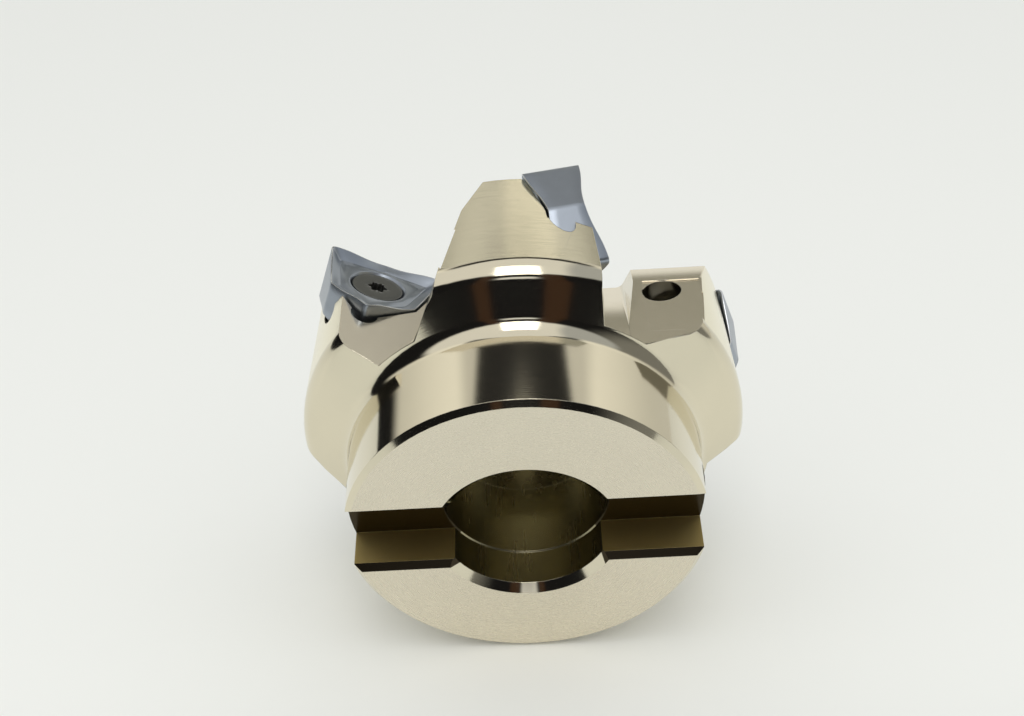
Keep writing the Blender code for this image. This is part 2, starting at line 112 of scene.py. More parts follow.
def mix_node(tree, factor, first, second):
    """Mix of two colours, each a tuple or an output, by an output; returns its colour."""
    node = tree.nodes.new("ShaderNodeMix")
    node.data_type = "RGBA"
    link(tree, factor, node.inputs[0])
    for socket, colour in ((FIRST_COLOUR, first), (SECOND_COLOUR, second)):
        if isinstance(colour, tuple):
            node.inputs[socket].default_value = (*colour, 1.0)
        else:
            link(tree, colour, node.inputs[socket])
    return node.outputs[MIXED_COLOUR]


TABLE_REACH = 3.0
TABLE_COLOUR = (0.83, 0.84, 0.81)
# Painted shade: the darker colour the paper turns to toward the camera.
TABLE_FRONT_SHADE = (0.77, 0.785, 0.76)
TABLE_FADE = (-0.015, -0.060)    # along Y, from the table's colour to that of its front
PAPER_ROUGHNESS = 0.9
PAPER_SHEEN = 0.1                # its specular level, where 0.5 is the usual one
paper, paper_tree, paper_shader = material("table_paper", TABLE_COLOUR, PAPER_ROUGHNESS, 0.0)
paper_shader.inputs["Specular IOR Level"].default_value = PAPER_SHEEN
paper_place = paper_tree.nodes.new("ShaderNodeTexCoord")
paper_parts = paper_tree.nodes.new("ShaderNodeSeparateXYZ")
link(paper_tree, paper_place.outputs["Object"], paper_parts.inputs[0])
paper_painted_shade = fade(paper_tree, paper_parts.outputs["Y"], *TABLE_FADE)
link(paper_tree, mix_node(paper_tree, paper_painted_shade, TABLE_COLOUR, TABLE_FRONT_SHADE),
     paper_shader.inputs["Base Color"])
table_corners = TABLE_REACH * np.array([[-1, -1, 0], [1, -1, 0], [1, 1, 0], [-1, 1, 0]], float)
table = piece("table", table_corners, [[0, 1, 2, 3]], [paper])


# Studio light
# One long soft box stands in front of the tool. The metal mirrors a room with a dark front, a
# back wall in bands under a pale ceiling, and pale sides; after a bounce off a matt surface,
# light comes from an even pale room instead.
CEILING = (0.84, 0.835, 0.82)
CEILING_RIGHT = (0.46, 0.48, 0.50)
WALL_FOOT = (0.92, 0.91, 0.85)
WALL_SIDE_LOW = (0.64, 0.63, 0.58)
WALL_SIDE_HIGH = (1.00, 0.985, 0.92)
WALL_MIDDLE_LOW = (0.30, 0.295, 0.25)
WALL_MIDDLE_HIGH = (1.00, 0.97, 0.87)
WALL_BESIDE_LOW = (0.15, 0.15, 0.13)
WALL_BESIDE_HIGH = (0.67, 0.66, 0.62)
BOOM = (0.022, 0.022, 0.022)
DARK_ROOM = (0.010, 0.010, 0.011)
BROWN_POST = (0.050, 0.027, 0.016)
GREY_SIDE = (0.22, 0.22, 0.21)
WINDOW = (0.90, 0.91, 0.93)
EVEN_FRONT = (1.06, 1.065, 1.06)
EVEN_BACK = (0.80, 0.805, 0.80)

# Where these lie, along the three parts of the unit vector toward them: right, deep (away from
# the camera) and up. A step is its start and its stop; a span is its middle, half its width
# and its softness.
LEFT_POST_SPAN = (-0.21, 0.04, 0.01)
RIGHT_POST_SPAN = (0.21, 0.07, 0.012)
GREY_SIDE_STEP = (0.50, 0.85)
WINDOW_RIGHT_SPAN = (-0.01, 0.12, 0.03)
WINDOW_UP_SPAN = (0.33, 0.055, 0.02)
CEILING_RIGHT_STEP = (0.30, 0.42)
FRONT_CEILING_STEP = (0.55, 0.66)
WALL_SIDE_STEP = (0.10, 0.80)
LEFT_GAP_STEP = (-0.50, -0.62)
LEFT_GAP_TOP_STEP = (0.26, 0.14)
WALL_HIGH_STEP = (0.58, 0.68)
WALL_MIDDLE_SPAN = (0.070, 0.135, 0.02)
WALL_FOOT_STEP = (0.36, 0.26)
BOOM_SPAN = (0.832, 0.053, 0.012)
CEILING_STEP = (0.885, 0.90)
WALL_SPAN = (0.02, 0.46, 0.05)
DEEP_STEP = (0.20, 0.45)
EVEN_STEP = (-0.5, 0.5)


def math_node(tree, operation, first, second=0.0):
    """Math node of two numbers or outputs; returns its output."""
    node = tree.nodes.new("ShaderNodeMath")
    node.operation = operation
    for socket, value in zip(node.inputs, (first, second)):
        if isinstance(value, (int, float)):
            socket.default_value = value
        else:
            link(tree, value, socket)
    return node.outputs[0]


def band(tree, value, middle_of_band, half_width, softness):
    """Soft band of an output: 1 within half a width of its middle and 0 outside."""
    off = math_node(tree, "ABSOLUTE", math_node(tree, "SUBTRACT", value, middle_of_band))
    return fade(tree, off, half_width + softness, half_width - softness)


room = bpy.data.worlds.new("studio")
bpy.context.scene.world = room
room.use_nodes = True
sky = room.node_tree
background = sky.nodes["Background"]
direction = sky.nodes.new("ShaderNodeTexCoord")
compass = sky.nodes.new("ShaderNodeSeparateXYZ")
link(sky, direction.outputs["Generated"], compass.inputs[0])
right, deep, up = (compass.outputs[axis] for axis in "XYZ")

# The half of the room on the camera's side.
posts = math_node(sky, "MAXIMUM", band(sky, right, *LEFT_POST_SPAN),
                  band(sky, right, *RIGHT_POST_SPAN))
front = mix_node(sky, posts, DARK_ROOM, BROWN_POST)
front = mix_node(sky, fade(sky, right, *GREY_SIDE_STEP), front, GREY_SIDE)
window = math_node(sky, "MULTIPLY", band(sky, right, *WINDOW_RIGHT_SPAN),
                   band(sky, up, *WINDOW_UP_SPAN))
front = mix_node(sky, window, front, WINDOW)
front_ceiling = mix_node(sky, fade(sky, right, *CEILING_RIGHT_STEP), CEILING, CEILING_RIGHT)
front = mix_node(sky, fade(sky, up, *FRONT_CEILING_STEP), front, front_ceiling)

# The half behind the tool: pale sides, and between them the wall.
left_gap = math_node(sky, "MULTIPLY", fade(sky, right, *LEFT_GAP_STEP),
                     fade(sky, up, *LEFT_GAP_TOP_STEP))
wall_side = mix_node(sky, fade(sky, up, *WALL_SIDE_STEP), WALL_SIDE_LOW, WALL_SIDE_HIGH)
wall_side = mix_node(sky, left_gap, wall_side, DARK_ROOM)
wall_middle = mix_node(sky, fade(sky, up, *WALL_HIGH_STEP), WALL_MIDDLE_LOW, WALL_MIDDLE_HIGH)
wall_beside = mix_node(sky, fade(sky, up, *WALL_HIGH_STEP), WALL_BESIDE_LOW, WALL_BESIDE_HIGH)
wall = mix_node(sky, band(sky, right, *WALL_MIDDLE_SPAN), wall_beside, wall_middle)
wall = mix_node(sky, fade(sky, up, *WALL_FOOT_STEP), wall, WALL_FOOT)
wall = mix_node(sky, band(sky, up, *BOOM_SPAN), wall, BOOM)
wall = mix_node(sky, fade(sky, up, *CEILING_STEP), wall, CEILING)
wall = mix_node(sky, band(sky, right, *WALL_SPAN), wall_side, wall)

# The metal sees the mirrored room, light that has met a matt surface comes from the even one,
# and the camera sees the table's colour past the table. The mirrored room has to be the plain
# case, because no kind of ray is set while Cycles weighs its lights.
mirrored = mix_node(sky, fade(sky, deep, *DEEP_STEP), front, wall)
even = mix_node(sky, fade(sky, deep, *EVEN_STEP), EVEN_FRONT, EVEN_BACK)
ray = sky.nodes.new("ShaderNodeLightPath")
met_paper = math_node(sky, "MINIMUM", ray.outputs["Diffuse Depth"], 1.0)
lit = mix_node(sky, met_paper, mirrored, even)
shown = mix_node(sky, ray.outputs["Is Camera Ray"], lit, TABLE_COLOUR)
link(sky, shown, background.inputs["Color"])
background.inputs["Strength"].default_value = 1.0

# The soft box faces the tool. Its width lies along X, and its length rises toward the back.
KEY_PLACE = np.array([-0.005, -0.34, 0.53])
KEY_TARGET = np.array([0.0, 0.0, 0.04])
KEY_SIZE = (0.20, 0.47)          # width and length
KEY_WATTS = 0.70
KEY_COLOUR = (1.0, 0.99, 0.98)
soft_box = bpy.data.lights.new("key_light", "AREA")
soft_box.shape = "RECTANGLE"
soft_box.size, soft_box.size_y = KEY_SIZE
soft_box.energy = KEY_WATTS
soft_box.color = KEY_COLOUR
key_light = bpy.data.objects.new("key_light", soft_box)
key_back = (KEY_PLACE - KEY_TARGET) / np.linalg.norm(KEY_PLACE - KEY_TARGET)
key_side = np.cross((0.0, 1.0, 0.0), key_back)
key_side /= np.linalg.norm(key_side)
key_up = np.cross(key_back, key_side)
key_light.matrix_world = Matrix(
    [(key_side[i], key_up[i], key_back[i], KEY_PLACE[i]) for i in range(3)]
    + [(0.0, 0.0, 0.0, 1.0)])
bpy.context.scene.collection.objects.link(key_light)


# Cutter body
# Turned and milled from one bar of tool steel and nickel plated: hub, cone and flange are
# turned, then the key slot, the five gullets and the insert pockets are milled.
TEETH = 5
# Middle of the first insert: height over the arbor face, and how far it lies aside of the
# first tooth's radius and along it.
INSERT_AXIAL = 0.03262
INSERT_SIDE = 0.00674
INSERT_RADIAL = 0.02332


def node_points(name):
    """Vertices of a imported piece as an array."""
    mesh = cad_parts[name].data
    points = np.empty(len(mesh.vertices) * 3)
    mesh.vertices.foreach_get("co", points)
    return points.reshape(-1, 3)


# The tool's own axes, from the five inserts: they stand on one circle round the tool axis, at
# one height over the arbor face. Rows are X through the first tooth, Y, and Z, the tool axis.
centres = np.array([node_points(f"insert_{k + 1}").mean(axis=0) for k in range(TEETH)])
middle = centres.mean(axis=0)
tool_z = np.cross(centres[1] - middle, centres[0] - middle)
tool_z /= np.linalg.norm(tool_z)
to_first = centres[0] - middle
to_first /= np.linalg.norm(to_first)
lead = math.atan2(INSERT_SIDE, INSERT_RADIAL)
tool_x = math.cos(lead) * to_first - math.sin(lead) * np.cross(tool_z, to_first)
tool_axes = np.array([tool_x, np.cross(tool_z, tool_x), tool_z])
tool_origin = middle - INSERT_AXIAL * tool_z


def to_tool(points):
    """Points of the scene in the tool's own axes."""
    return (points - tool_origin) @ tool_axes.T


def to_scene(points):
    """Points in the tool's own axes, where the tool lies in the scene."""
    return points @ tool_axes + tool_origin


WELD_GRID = 1e6                  # lines a metre of the grid on which equal corners merge


def weld(name):
    """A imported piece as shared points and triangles, its loose corners merged."""
    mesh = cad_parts[name].data
    points = node_points(name)
    corners = np.empty(len(mesh.loops), int)
    mesh.loops.foreach_get("vertex_index", corners)
    _, first, inverse = np.unique(np.round(points * WELD_GRID).astype(int), axis=0,
                                  return_index=True, return_inverse=True)
    faces = inverse.ravel()[corners].reshape(-1, 3)
    whole = (faces[:, 0] != faces[:, 1]) & (faces[:, 1] != faces[:, 2])
    whole &= faces[:, 2] != faces[:, 0]
    return points[first], faces[whole]


NO_LENGTH = 1e-18                # keeps a sliver of no area from dividing by zero


def face_normals(points, faces):
    """Unit normals and areas of triangles."""
    a, b, c = (points[faces[:, i]] for i in range(3))
    cross = np.cross(b - a, c - a)
    length = np.linalg.norm(cross, axis=1)
    return cross / np.maximum(length, NO_LENGTH)[:, None], length / 2


TURN_FACET = math.tau / 90       # angle of one facet of a turned surface
FACET_SLACK = 1.02
HALF_FACET = TURN_FACET / 2 * FACET_SLACK
FLAT_LIMIT = 0.9999              # a normal this much along the axis is on a flat
BLEND_LIMIT = math.cos(math.radians(24))    # normals closer than this angle are blended
NORMAL_GRID = 500                # normals that agree on this grid are on one surface
TURNED_MARK = 9                  # sets the turned surfaces apart from the flat ones


def turned_normals(points, faces):
    """Corner normals of the body, in the tool's axes, and which faces are turned outside.

    On a turned surface the facet's normal is swung round the axis to each corner's own angle.
    Then each corner takes the mean of the normals that meet there within a small angle, each
    surface weighted by its whole area squared, so that flats stay flat and rounds run into
    them.
    """
    normals, areas = face_normals(points, faces)
    angle = np.arctan2(normals[:, 1], normals[:, 0])
    corner_angle = np.arctan2(points[:, 1], points[:, 0])[faces]
    outward = np.abs((corner_angle - angle[:, None] + math.pi) % math.tau - math.pi)
    inward = math.pi - outward
    flat = np.abs(normals[:, 2]) > FLAT_LIMIT
    out = (outward < HALF_FACET).all(axis=1) & ~flat
    turned = out | ((inward < HALF_FACET).all(axis=1) & ~flat)
    radial = np.hypot(normals[:, 0], normals[:, 1]) * np.where(out, 1.0, -1.0)
    swung = np.stack([radial[:, None] * np.cos(corner_angle),
                      radial[:, None] * np.sin(corner_angle),
                      np.repeat(normals[:, 2:], 3, axis=1)], axis=2)
    own = np.where(turned[:, None, None], swung, normals[:, None, :]).reshape(-1, 3)

    # Faces of one surface have one group, with the surface's whole area as its weight.
    turned_key = np.stack([radial, normals[:, 2], np.full_like(radial, TURNED_MARK)], axis=1)
    key = np.round(np.where(turned[:, None], turned_key, normals) * NORMAL_GRID).astype(int)
    group = np.unique(key, axis=0, return_inverse=True)[1].ravel()
    weight = np.bincount(group, weights=areas)

    # Every pair of corners, one and other, that meet in a vertex within the small angle.
    vertex = faces.ravel()
    order = np.argsort(vertex, kind="stable")
    counts = np.bincount(vertex)
    starts = np.concatenate([[0], np.cumsum(counts)[:-1]])
    repeat = counts[vertex]
    one = np.repeat(np.arange(len(vertex)), repeat)
    step = np.arange(len(one)) - np.repeat(np.cumsum(repeat) - repeat, repeat)
    other = order[starts[vertex[one]] + step]
    near = (own[one] * own[other]).sum(axis=1) > BLEND_LIMIT
    one, other = one[near], other[near]

    # Each surface counts once at a corner, however many of its faces meet there.
    kinds = np.unique(np.stack([one, group[other // 3]], axis=1), axis=0, return_index=True)[1]
    one, other = one[kinds], other[kinds]
    total = np.zeros_like(own)
    np.add.at(total, one, own[other] * weight[group[other // 3]][:, None] ** 2)
    return total / np.linalg.norm(total, axis=1)[:, None], out


# Each round of the blank: middle (radius, height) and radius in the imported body, and the two
# for the rounder one that the real tool has, which touches the same straight lines.
ROUNDS = (
    ((0.025500, 0.012790), 0.0015, (0.026900, 0.012034), 0.0029),
    ((0.028243, 0.019252), 0.0024, (0.027369, 0.019695), 0.00325),
)
ROUND_SLACK = 0.00004            # how far off the arc a point of the round may lie
ROUND_REACH = 0.9                # and how far along the axis from its middle, in radii


def ease_rounds(points):
    """Body with larger rounds at the foot and the top of the cone.

    In the plane through the axis each point of a round is moved from its own arc to the same
    direction on the larger arc: new middle + (point - old middle) * new radius / old radius.
    """
    radius, turn = np.hypot(points[:, 0], points[:, 1]), np.arctan2(points[:, 1], points[:, 0])
    flat = np.stack([radius, points[:, 2]], axis=1)
    eased = flat.copy()
    for middle_of_arc, size, new_middle, new_size in ROUNDS:
        off = flat - middle_of_arc
        on_arc = np.abs(np.linalg.norm(off, axis=1) - size) < ROUND_SLACK
        on_arc &= np.abs(off[:, 1]) < size * ROUND_REACH
        eased[on_arc] = np.array(new_middle) + off[on_arc] * (new_size / size)
    return np.stack([eased[:, 0] * np.cos(turn), eased[:, 0] * np.sin(turn), eased[:, 1]], axis=1)


BODY_LENGTH = 0.0377
HUB_RADIUS = 0.0240
BORE_RADIUS = 0.0110
BORE_MOUTH_DEPTH = 0.0015
KEY_SLOT_DEPTH = 0.0063
KEY_SLOT_WIDTH = 0.0104
OUTER_START = 0.01970            # height where the matt outer surface begins
OUTER_SLOPE = 0.2                # most of its normal that may lie along the axis
HEIGHT_SLACK = 0.0002
SLOT_SLACK = 0.001               # room for the chamfers of the slot
BORE_SLACK = 0.002               # and of the bore's mouth
ALONG_AXIS = 0.999               # least part along the axis of an end face's normal
SLOPING = 0.3                    # and of a chamfer's or a slot floor's
SIDEWAYS = 0.99                  # least part across the slot of a slot side's normal
POLISHED, MATT_TURNED, GROUND, MILLED, BORE, SLOT_FLOOR, SLOT_SIDE = range(7)


def body_finishes(points, faces, out):
    """Number of the finish on each face of the body, from where it lies and how it faces.

    What is turned outside (out) is polished or matt, the ends are ground, the bore and the key
    slots have finishes of their own whose darker tints are painted shade, the mouth of the bore
    is polished and the rest is milled.
    """
    normals, _ = face_normals(points, faces)
    across, along = np.abs(normals[:, 0]), normals[:, 2]
    centre = points[faces].mean(axis=1)
    radius, height = np.hypot(centre[:, 0], centre[:, 1]), centre[:, 2]
    finish = np.full(len(faces), MILLED)
    finish[out] = POLISHED
    finish[out & (height > OUTER_START) & (np.abs(along) < OUTER_SLOPE)] = MATT_TURNED
    finish[(along < -ALONG_AXIS) & (height < HEIGHT_SLACK)] = GROUND
    finish[(along > ALONG_AXIS) & (height > BODY_LENGTH - HEIGHT_SLACK)] = GROUND
    in_slot = (np.abs(centre[:, 0]) < KEY_SLOT_WIDTH / 2 + SLOT_SLACK) & (
        radius < HUB_RADIUS + SLOT_SLACK)
    in_slot &= (height < KEY_SLOT_DEPTH + HEIGHT_SLACK) & (finish == MILLED)
    in_bore = (radius < BORE_RADIUS + BORE_SLACK) & (finish == MILLED)
    finish[in_slot | in_bore] = BORE
    finish[in_bore & (height < BORE_MOUTH_DEPTH) & (np.abs(along) > SLOPING)] = POLISHED
    finish[in_slot & (along < -SLOPING)] = SLOT_FLOOR
    finish[in_slot & (across > SIDEWAYS)] = SLOT_SIDE
    return finish


def tool_coordinates(tree):
    """Object coordinates turned into the tool's own axes; returns the mapped vector."""
    coordinates = tree.nodes.new("ShaderNodeTexCoord")
    mapping = tree.nodes.new("ShaderNodeMapping")
    mapping.inputs["Rotation"].default_value = Matrix(tool_axes.tolist()).to_euler()
    mapping.inputs["Location"].default_value = (-tool_axes @ tool_origin).tolist()
    link(tree, coordinates.outputs["Object"], mapping.inputs["Vector"])
    return mapping.outputs[0]


def ring_vector(tree, around, across):
    """Vector whose noise runs in rings round the tool axis.

    The first two parts are the direction from the axis, times around, and the third is the
    distance from the axis plus the height along it, times across.
    """
    parts = tree.nodes.new("ShaderNodeSeparateXYZ")
    link(tree, tool_coordinates(tree), parts.inputs[0])
    x, y, z = (parts.outputs[axis] for axis in "XYZ")
    squares = math_node(tree, "ADD", math_node(tree, "MULTIPLY", x, x),
                        math_node(tree, "MULTIPLY", y, y))
    radius = math_node(tree, "SQRT", squares)
    whole = tree.nodes.new("ShaderNodeCombineXYZ")
    for socket, value, scale in (
            ("X", math_node(tree, "DIVIDE", x, radius), around),
            ("Y", math_node(tree, "DIVIDE", y, radius), around),
            ("Z", math_node(tree, "ADD", radius, z), across)):
        link(tree, math_node(tree, "MULTIPLY", value, scale), whole.inputs[socket])
    return whole.outputs[0]


def straight_vector(tree, *scales):
    """Vector along the tool's own axes, times a scale for each of them or one for all."""
    node = tree.nodes.new("ShaderNodeVectorMath")
    node.operation = "MULTIPLY"
    node.inputs[1].default_value = scales if len(scales) == 3 else scales * 3
    link(tree, tool_coordinates(tree), node.inputs[0])
    return node.outputs[0]


def noise_node(tree, vector, detail=2.0):
    """Noise over a vector; returns its value."""
    node = tree.nodes.new("ShaderNodeTexNoise")
    node.inputs["Scale"].default_value = 1.0
    node.inputs["Detail"].default_value = detail
    link(tree, vector, node.inputs["Vector"])
    return node.outputs[0]


BEVEL_SAMPLES = 6


def soft_edge(tree, radius):
    """Normal that rounds the edges of the mesh over a small radius."""
    node = tree.nodes.new("ShaderNodeBevel")
    node.samples = BEVEL_SAMPLES
    node.inputs["Radius"].default_value = radius
    return node.outputs[0]


def bump(tree, height, depth, normal):
    """Normal with a height in metres of relief, over a first normal."""
    node = tree.nodes.new("ShaderNodeBump")
    node.inputs["Distance"].default_value = depth
    link(tree, height, node.inputs["Height"])
    link(tree, normal, node.inputs["Normal"])
    return node.outputs[0]


def uneven_roughness(tree, shader, marks, roughness, uneven):
    """Roughness that strays from its middle value by half of uneven, with the marks."""
    spread = math_node(tree, "MULTIPLY", math_node(tree, "SUBTRACT", marks, 0.5), uneven)
    link(tree, math_node(tree, "ADD", spread, roughness), shader.inputs["Roughness"])


CLOUD_DETAIL = 3.0


def clouded_colour(tree, shader, scale, first, second):
    """Colour that drifts between two near ones in soft clouds."""
    cloud = noise_node(tree, straight_vector(tree, scale), CLOUD_DETAIL)
    link(tree, mix_node(tree, cloud, first, second), shader.inputs["Base Color"])


NICKEL_CLOUD = 180.0             # clouds a metre
NICKEL_SHADE = 0.94              # the darker clouds, as a share of the tint
NICKEL_EDGE = 0.00010            # radius of the softened edges
NICKEL = (0.79, 0.73, 0.60)


def nickel(name, tint, roughness, uneven, relief, vector_of, scales):
    """Nickel plate over a worked surface, whose marks follow a vector at these scales."""
    made, tree, shader = material(name, tint, roughness, 1.0)
    marks = noise_node(tree, vector_of(tree, *scales))
    uneven_roughness(tree, shader, marks, roughness, uneven)
    clouded_colour(tree, shader, NICKEL_CLOUD, tuple(NICKEL_SHADE * part for part in tint), tint)
    normal = bump(tree, marks, relief, soft_edge(tree, NICKEL_EDGE))
    link(tree, normal, shader.inputs["Normal"])
    return made


# In the order of the finishes' numbers: name, tint, roughness, how uneven it is, relief in
# metres, and the vector of the marks with its scales.
NICKEL_FINISHES = (
    ("polished_nickel", (0.76, 0.70, 0.545), 0.088, 0.04, 1.5e-6, ring_vector, (5.0, 9000.0)),
    ("matt_turned_nickel", (0.95, 0.88, 0.67), 0.19, 0.06, 6e-6, ring_vector, (4.0, 15000.0)),
    ("ground_nickel", NICKEL, 0.27, 0.12, 1.5e-6, ring_vector, (9.0, 5000.0)),
    ("milled_nickel", NICKEL, 0.20, 0.06, 0.8e-6, straight_vector, (900.0,)),
    # The bore and the key slots: tints darker and browner than the plate, painted shade in these
    # hollows.
    ("bore_painted_shade", (0.41, 0.37, 0.24), 0.27, 0.03, 0.4e-6, straight_vector,
     (900.0, 900.0, 100.0)),
    ("slot_floor_painted_shade", (0.050, 0.040, 0.025), 0.20, 0.05, 1e-6, straight_vector,
     (500.0, 6000.0, 500.0)),
    ("slot_side_painted_shade", (0.50, 0.39, 0.16), 0.50, 0.05, 1e-6, straight_vector,
     (500.0, 500.0, 6000.0)),
)
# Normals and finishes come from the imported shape, and only the mesh has the larger rounds.
body_points, body_faces = weld("cutter_body")
body_in_tool = to_tool(body_points)
body_corner_normals, body_outside = turned_normals(body_in_tool, body_faces)
body = piece("body_of_cutter", to_scene(ease_rounds(body_in_tool)), body_faces.tolist(),
             [nickel(*row) for row in NICKEL_FINISHES])
body.data.polygons.foreach_set("material_index",
                               body_finishes(body_in_tool, body_faces, body_outside))
body.data.shade_smooth()
body.data.normals_split_custom_set((body_corner_normals @ tool_axes).tolist())
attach(body, "root")
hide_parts("cutter_body")


# Inserts
# Double-sided trigon tips pressed from tungsten carbide, ground round the sides and coated
# dark grey. Each has three raised cutting corners a side and a countersunk hole.
AXIAL_RAKE = math.radians(13.03)
RADIAL_RAKE = math.radians(2.19)
CORNER_TURN = math.radians(42.92)
SHARP_REACH = 0.0096             # from the middle to the point of a sharp corner
BLUNT_REACH = 0.00701
SHARP_HALF_HEIGHT = 0.00399
BLUNT_HALF_HEIGHT = 0.00250
NOSE_RADIUS = 0.0008
BLUNT_RADIUS = 0.0015
EDGE_SWING = 0.085               # how far the edge swings off a straight fall between corners
VALLEY_HEIGHT = 0.0022           # of the chip valley at a blunt corner, from the middle
VALLEY_SWING = 0.35              # share of the edge's rise that the valley follows
HOLE_RIM_RADIUS = 0.0040
HOLE_RIM_FLAT = 0.0001
HOLE_RIM_BREAK = 0.00005
HOLE_NECK_RADIUS = 0.0026
HOLE_NECK_LEVEL = 0.0003
HOLE_CONE_STEP = 0.0005
ARC_POINTS = 9
SIDE_POINTS = 14
LAND_ROWS = (2, 5)               # rows of the surface between which the honed land lies
SHARP_LIMIT = math.radians(28)   # edges that turn by more than this aren't smoothed


def turn_about(axis, angle):
    """Rotation matrix about one of the tool's axes."""
    return np.array(Matrix.Rotation(angle, 3, axis))


def seat_frame(index):
    """Axes (rows) and centre of an insert in the tool's axes; the last row is its rake side."""
    to_corner = np.array([math.cos(CORNER_TURN), 0.0, math.sin(CORNER_TURN)])
    rake = np.array([0.0, 1.0, 0.0])
    axes = np.array([to_corner, np.cross(rake, to_corner), rake])
    tilt = turn_about("Z", RADIAL_RAKE) @ turn_about("X", AXIAL_RAKE)
    step = turn_about("Z", -math.tau * index / TEETH)
    centre = step @ np.array([INSERT_RADIAL, INSERT_SIDE, INSERT_AXIAL])
    return (step @ tilt @ axes.T).T, centre


def seat(points, index):
    """Points in an insert's own axes, carried to its place in the scene."""
    axes, centre = seat_frame(index)
    return to_scene(points @ axes + centre)


def trigon(inset):
    """Plan of the insert drawn in by an inset, as points counterclockwise.

    Six corners stand at every sixth of a turn, by turns at the sharp and the blunt reach. Each
    is an arc that sweeps from one side's normal to the next, and straight sides join the arcs.
    """
    turn = np.arange(6) * math.pi / 3
    is_sharp = np.arange(6) % 2 == 0
    reach = np.where(is_sharp, SHARP_REACH, BLUNT_REACH)
    corner = reach[:, None] * np.stack([np.cos(turn), np.sin(turn)], axis=1)
    side = np.roll(corner, -1, axis=0) - corner
    side /= np.linalg.norm(side, axis=1)[:, None]
    normal = np.stack([side[:, 1], -side[:, 0]], axis=1)
    before = np.roll(normal, 1, axis=0)
    half = np.arccos((normal * before).sum(axis=1)) / 2
    bisector = (normal + before) / np.linalg.norm(normal + before, axis=1)[:, None]
    radius = np.where(is_sharp, max(NOSE_RADIUS - inset / 2, NOSE_RADIUS / 2), BLUNT_RADIUS)
    centre = corner - bisector * ((inset + radius) / np.cos(half))[:, None]
    middle_angle = np.arctan2(bisector[:, 1], bisector[:, 0])
    sweep = np.linspace(-1, 1, ARC_POINTS)[None, :] * half[:, None] + middle_angle[:, None]
    arc = centre[:, None, :] + radius[:, None, None] * np.stack(
        [np.cos(sweep), np.sin(sweep)], axis=2)
    share = np.arange(1, SIDE_POINTS)[None, :, None] / SIDE_POINTS
    ends = np.roll(arc[:, :1, :], -1, axis=0)
    straight = arc[:, -1:, :] * (1 - share) + ends * share
    return np.concatenate([arc, straight], axis=1).reshape(-1, 2)


def edge_level(plan):
    """Half height at points of the outline: high at the sharp corners, low at the blunt ones.

    The share of the way from a sharp corner to a blunt one is made slower at both ends, to
    share - swing * sin(one turn * share), and the height falls with that share.
    """
    turn = np.arctan2(plan[:, 1], plan[:, 0]) % (math.tau / 3)
    turn = np.minimum(turn, math.tau / 3 - turn)
    folded = np.hypot(plan[:, 0], plan[:, 1])[:, None] * np.stack(
        [np.cos(turn), np.sin(turn)], axis=1)
    sharp = np.array([SHARP_REACH, 0.0])
    blunt = BLUNT_REACH * np.array([0.5, math.sqrt(0.75)])
    share = (folded - sharp) @ (blunt - sharp) / ((blunt - sharp) ** 2).sum()
    share = np.clip(share, 0.0, 1.0)
    share = share - EDGE_SWING * np.sin(math.tau * share)
    return SHARP_HALF_HEIGHT + share * (BLUNT_HALF_HEIGHT - SHARP_HALF_HEIGHT)


def grid_faces(rows, columns, closed_rows):
    """Quads of a grid whose columns run round; the rows are joined too if closed."""
    last = rows if closed_rows else rows - 1
    i, j = np.meshgrid(np.arange(last), np.arange(columns), indexing="ij")
    above, along = (i + 1) % rows, (j + 1) % columns
    return np.stack([i * columns + j, i * columns + along, above * columns + along,
                     above * columns + j], axis=2).reshape(-1, 4)


def insert_surface():
    """Rings of the insert from the middle of its side, over the rake face, into the hole.

    Each ring is the outline drawn in by an inset. The chip valley's floor lies at valley height
    + valley swing * (edge level - blunt half height), the ring's height goes by shares from
    the edge to the valley and on to the flat, and the far side is the mirror image.
    """
    high = edge_level(trigon(0.0))
    low = VALLEY_HEIGHT + VALLEY_SWING * (high - BLUNT_HALF_HEIGHT)
    flat = np.full_like(high, BLUNT_HALF_HEIGHT)
    # Inset from the outline and height over the middle: flank, edge, land, fall into the
    # valley, valley floor, and rise to the flat round the hole.
    rows = [
        (0.0, 0.0 * high),
        (0.0, 0.5 * high),
        (0.0, high - 0.00005),
        (0.000015, high - 0.000015),
        (0.00005, high),
        (0.00017, high),
        (0.00020, high - 0.00002),
        (0.00050, high + (low - high) * 0.26),
        (0.00090, high + (low - high) * 0.58),
        (0.00136, low + 0.00003),
        (0.00150, low - 0.00005),
        (0.00164, low),
        (0.00195, (low + flat) / 2),
        (0.00225, flat - 0.00002),
        (0.00240, flat),
    ]
    rings = [np.column_stack([trigon(inset), level]) for inset, level in rows]
    rim = rings[-1][:, :2] / np.linalg.norm(rings[-1][:, :2], axis=1)[:, None]
    slope = (HOLE_RIM_RADIUS - HOLE_NECK_RADIUS) / (BLUNT_HALF_HEIGHT - HOLE_NECK_LEVEL)
    hole = (
        (HOLE_RIM_RADIUS + HOLE_RIM_FLAT, BLUNT_HALF_HEIGHT),
        (HOLE_RIM_RADIUS, BLUNT_HALF_HEIGHT - HOLE_RIM_BREAK),
        (HOLE_NECK_RADIUS + slope * HOLE_CONE_STEP, HOLE_NECK_LEVEL + HOLE_CONE_STEP),
        (HOLE_NECK_RADIUS, HOLE_NECK_LEVEL),
        (HOLE_NECK_RADIUS, 0.0),
    )
    for radius, level in hole:
        rings.append(np.column_stack([radius * rim, np.full(len(rim), level)]))
    front_side = np.array(rings)
    back_side = front_side[-2:0:-1] * np.array([1, 1, -1])
    return np.concatenate([front_side, back_side])


